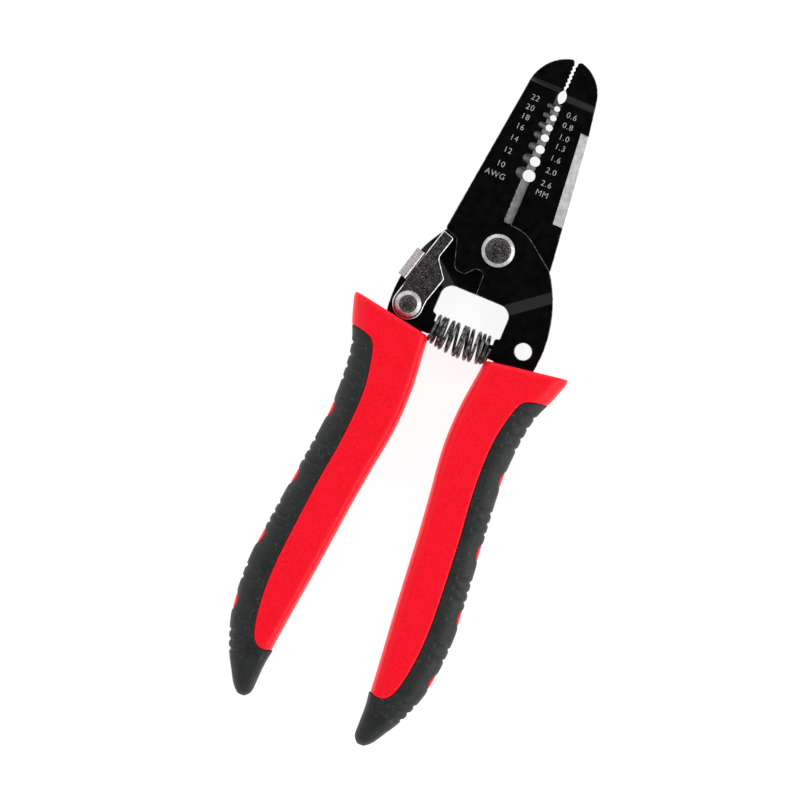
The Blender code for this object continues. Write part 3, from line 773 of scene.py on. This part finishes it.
def rivet_profile(shank, flat, tail, head, top, foot):
    """Half a rivet's section from its head down: a sunk flat, a sloping edge and a rounded tail."""
    under = top - HEAD_HEIGHT
    rim = top - (head - flat) * HEAD_FALL
    return [
        (0, top - 0.03),
        (flat - 0.1, top),
        (flat, top - 0.03),
        (head - 0.1, rim),
        (head - 0.03, rim - 0.05),
        (head, rim - 0.13),
        (head, under + 0.05),
        (head - 0.06, under),
        (shank, under),
        (shank, foot + 0.72),
        (tail - 0.05, foot + 0.72),
        (tail, foot + 0.66),
        (tail, foot + 0.34),
        (tail * 0.9, foot + 0.12),
        (tail * 0.72, foot),
        (0, foot),
    ]


def rivets(pitted, rolled):
    for node, (shank, flat, tail), centre in (
        ("pivot_rivet", PIVOT_RIVET, (0.0, 0.0)),
        ("latch_rivet", LATCH_RIVET, LATCH_AT),
    ):
        low, high = (np.array(corner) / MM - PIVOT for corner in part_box(node))
        head = (high[0] - low[0]) / 2
        profile = rivet_profile(shank, flat, tail, head, high[2], low[2])
        piece = lathe(f"{node}_turned", profile, centre)
        for polygon in piece.data.polygons:
            away = math.hypot(polygon.center.x - centre[0], polygon.center.y - centre[1])
            polygon.material_index = int(away > flat - 0.05)
        finish(settle(piece), "rear_half", "nickel", pitted, rolled, nodes=[node])


def coil():
    """The return spring, a little uneven as the real one is."""
    count = round(SPRING_TURNS * COIL_STEPS)
    share = np.arange(count + 1) / count
    angle = share * SPRING_TURNS * math.tau + SPRING_START
    swell = np.sin(share * math.pi)
    radius = SPRING_RADIUS + SPRING_SWELL * swell
    y = radius * np.sin(angle)
    along = 2 * share - 1
    x = SPRING_HALF * along * (1 + SPRING_CLOSE * (1 - along**2))
    x += swell * sum(size * np.sin(share * rate + start) for size, rate, start in UNEVEN)
    x += (LEAN_END + (1 - LEAN_END) * swell) * (SPRING_LEAN + LEAN_CHANGE * share) * y
    path = np.column_stack((x, SPRING_Y - SPRING_SAG * swell + y, radius * np.cos(angle)))
    forward = np.gradient(path, axis=0)
    forward /= np.linalg.norm(forward, axis=1)[:, None]
    outward = np.column_stack((np.zeros(len(angle)), np.sin(angle), np.cos(angle)))
    outward -= forward * np.sum(forward * outward, axis=1)[:, None]
    outward /= np.linalg.norm(outward, axis=1)[:, None]
    sideways = np.cross(forward, outward)
    turns = np.arange(WIRE_SIDES) / WIRE_SIDES * math.tau
    rings = []
    for i in range(count + 1):
        ways = [outward[i] * math.cos(a) + sideways[i] * math.sin(a) for a in turns]
        rings.append([path[i] + way * WIRE / 2 for way in ways])
    return rings_object("spring_coil", rings)


def return_spring(material):
    piece = settle(coil())
    piece.data.materials.append(material)
    piece.data.shade_smooth()
    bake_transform(piece)
    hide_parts("return_spring")


# Printing -------------------------------------------------------------------------------------


def label(text, at, top):
    """The mesh of a flat text, its middle at a point of a blade's face."""
    curve = bpy.data.curves.new(text, "FONT")
    curve.body = text
    curve.align_x, curve.align_y = "CENTER", "CENTER"
    curve.size = LETTER / DIGIT_SHARE
    curve.space_character = LETTER_SPACE
    curve.offset = -LETTER_THIN
    curve.extrude = INK / 2
    curve.resolution_u = 3
    obj = bpy.data.objects.new(text, curve)
    bpy.context.scene.collection.objects.link(obj)
    graph = bpy.context.evaluated_depsgraph_get()
    mesh = bpy.data.meshes.new_from_object(obj.evaluated_get(graph))
    bpy.data.objects.remove(obj)
    mesh.transform(Matrix.Translation((*at, top + INK / 2)))
    return mesh


def scale(name, labels, top, body, ink):
    """The printed numbers of a jaw, and their unit, as one piece."""
    bm = bmesh.new()
    for text, at in labels:
        mesh = label(text, at, top)
        bm.from_mesh(mesh)
        bpy.data.meshes.remove(mesh)
    mesh = bpy.data.meshes.new(name)
    bm.to_mesh(mesh)
    bm.free()
    obj = bpy.data.objects.new(name, mesh)
    bpy.context.scene.collection.objects.link(obj)
    finish(settle(obj), body, "black_steel", ink, smooth=False)


# Studio ---------------------------------------------------------------------------------------


def tent():
    """Even white light from all sides, with a dark patch overhead where the camera stands."""
    world = bpy.data.worlds.new("tent")
    bpy.context.scene.world = world
    world.use_nodes = True
    tree = world.node_tree
    background = tree.nodes["Background"]
    direction = tree.nodes.new("ShaderNodeTexCoord").outputs["Generated"]
    parts = tree.nodes.new("ShaderNodeSeparateXYZ")
    tree.links.new(direction, parts.inputs[0])
    patch = tree.nodes.new("ShaderNodeMapRange")
    patch.interpolation_type = "SMOOTHSTEP"
    tree.links.new(parts.outputs["Z"], patch.inputs[0])
    ends = (math.cos(PATCH_OUTSIDE), math.cos(PATCH_INSIDE), 1.0, PATCH_STRENGTH)
    for socket, value in zip(patch.inputs[1:5], ends):
        socket.default_value = value
    tree.links.new(patch.outputs[0], background.inputs["Strength"])
    background.inputs["Color"].default_value = (1, 1, 1, 1)


def soft_light(name, at, size, power):
    """A square soft box at a place in metres, facing the tool."""
    data = bpy.data.lights.new(name, "AREA")
    data.shape = "SQUARE"
    data.size = size
    data.energy = power
    lamp = bpy.data.objects.new(name, data)
    lamp.location = at
    lamp.rotation_euler = (-Vector(at)).to_track_quat("-Z", "Y").to_euler()
    bpy.context.scene.collection.objects.link(lamp)


def floor():
    bm = bmesh.new()
    bmesh.ops.create_grid(bm, x_segments=8, y_segments=8, size=FLOOR_SIZE)
    mesh = bpy.data.meshes.new("floor")
    bm.to_mesh(mesh)
    bm.free()
    obj = bpy.data.objects.new("floor", mesh)
    obj.location.z = FLOOR_DROP * MM
    bpy.context.scene.collection.objects.link(obj)
    look = Look("floor", roughness=0.9, emission_color=(1, 1, 1, 1), emission_strength=0.85)
    look.colour(look.mix(look.noise(60.0, 3.0), (0.28, 0.28, 0.28), (0.32, 0.32, 0.32)))
    obj.data.materials.append(look.material)


def camera():
    data = bpy.data.cameras.new("camera")
    data.sensor_width = SENSOR
    data.lens = SENSOR * (CAMERA_HEIGHT / MM - PIVOT[2] - BLADE_TOP) / VIEW_WIDTH
    obj = bpy.data.objects.new("camera", data)
    bpy.context.scene.collection.objects.link(obj)
    obj.location = (*((PIVOT[:2] + VIEW_CENTRE) * MM), CAMERA_HEIGHT)
    obj.rotation_euler = (0, 0, TILT)
    bpy.context.scene.camera = obj


def main():
    pitted = nickel()
    rolled = bright_nickel("rolled_nickel", 0.34, 0.52)
    steel = (
        black_oxide(),
        rubbed_edge(),
        ground_steel("ground_edge", 0.05, 0.15, (1, 9, 1)),
        ground_steel("ground_facet", 0.15, 0.34, (8, 1, 1)),
    )
    handles(red_plastic(), black_rubber())
    blades(steel)
    # The latch's chamfers are painted lighter than its plate: a painted highlight.
    latch_lever(pitted, bright_nickel("edge_nickel_painted_highlight", 0.55, 0.80))
    rivets(pitted, rolled)
    return_spring(spring_wire())
    ink = printing_ink()
    scale("gauge_scale", GAUGE_SCALE, BLADE_TOP, "front_half", ink)
    scale("metric_scale", METRIC_SCALE, REAR_TOP, "rear_half", ink)
    for node in ("pivot_washer", "latch_spring_washer"):
        frame["nodes"][node].material_slots[0].material = rolled
    bpy.context.scene.view_settings.view_transform = "Standard"
    tent()
    soft_light("key", *KEY)
    soft_light("fill", *FILL)
    floor()
    camera()


main()
